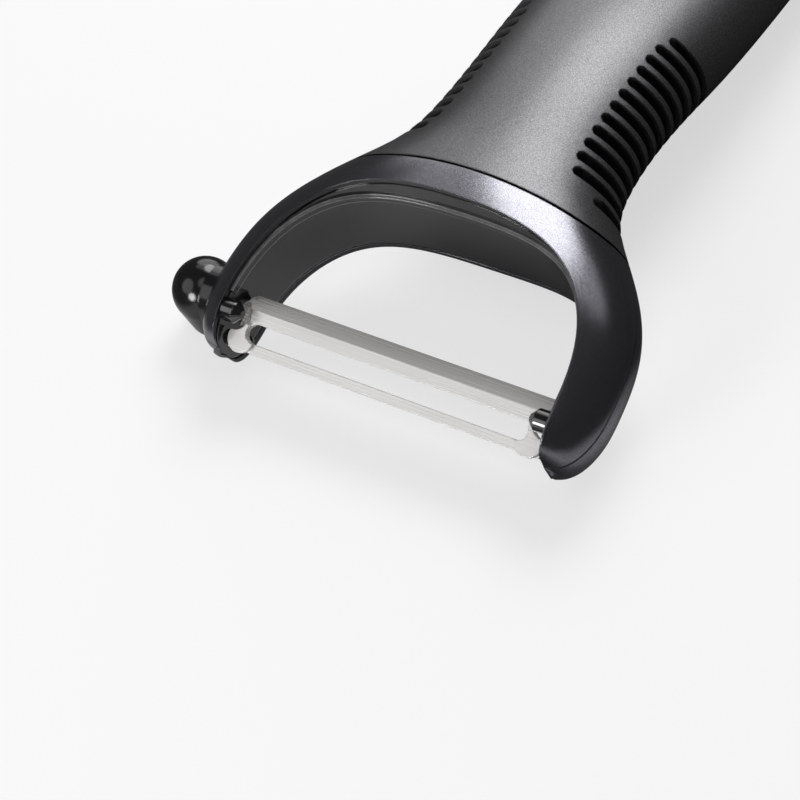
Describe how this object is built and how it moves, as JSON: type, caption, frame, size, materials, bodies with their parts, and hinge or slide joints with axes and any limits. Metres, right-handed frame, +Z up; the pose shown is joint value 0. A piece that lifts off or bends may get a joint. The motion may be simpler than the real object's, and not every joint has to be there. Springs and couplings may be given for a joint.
{
  "type": "vegetable peeler",
  "caption": "Y-shaped vegetable peeler with a swivelling slotted blade in a horseshoe head, a potato-eye scoop and a soft finned grip.",
  "frame": {"origin": "middle of the base of its bounding box, with the peeler lying on its back on a flat surface", "axes": "+Y along the handle from the blade to the hanging hole, +Z up through the front of the head, +X along the blade away from the scoop"},
  "size_m": [0.0722, 0.1486, 0.0271],
  "materials": {
    "grip_rubber": "matte with a fine sparkle",
    "satin_plastic": "satin",
    "glossy_plastic": "glossy",
    "blade_steel": "polished along its length",
    "pin_steel": "plain"
  },
  "bodies": {
    "handle": {"soft_grip": "grip_rubber", "core_frame": "glossy_plastic", "front_head_cover": "satin_plastic", "rear_head_cover": "satin_plastic", "potato_eye_scoop": "glossy_plastic", "left_pivot_pin": "pin_steel", "right_pivot_pin": "pin_steel"},
    "blade": {"blade": "blade_steel"}
  },
  "joints": [
    {"name": "blade_swivel", "type": "hinge", "parent": "handle", "child": "blade", "pos_m": [0.00426, -0.06669, 0.00969], "axis": [1, 0, 0], "range_deg": [-8, 25]}
  ]
}
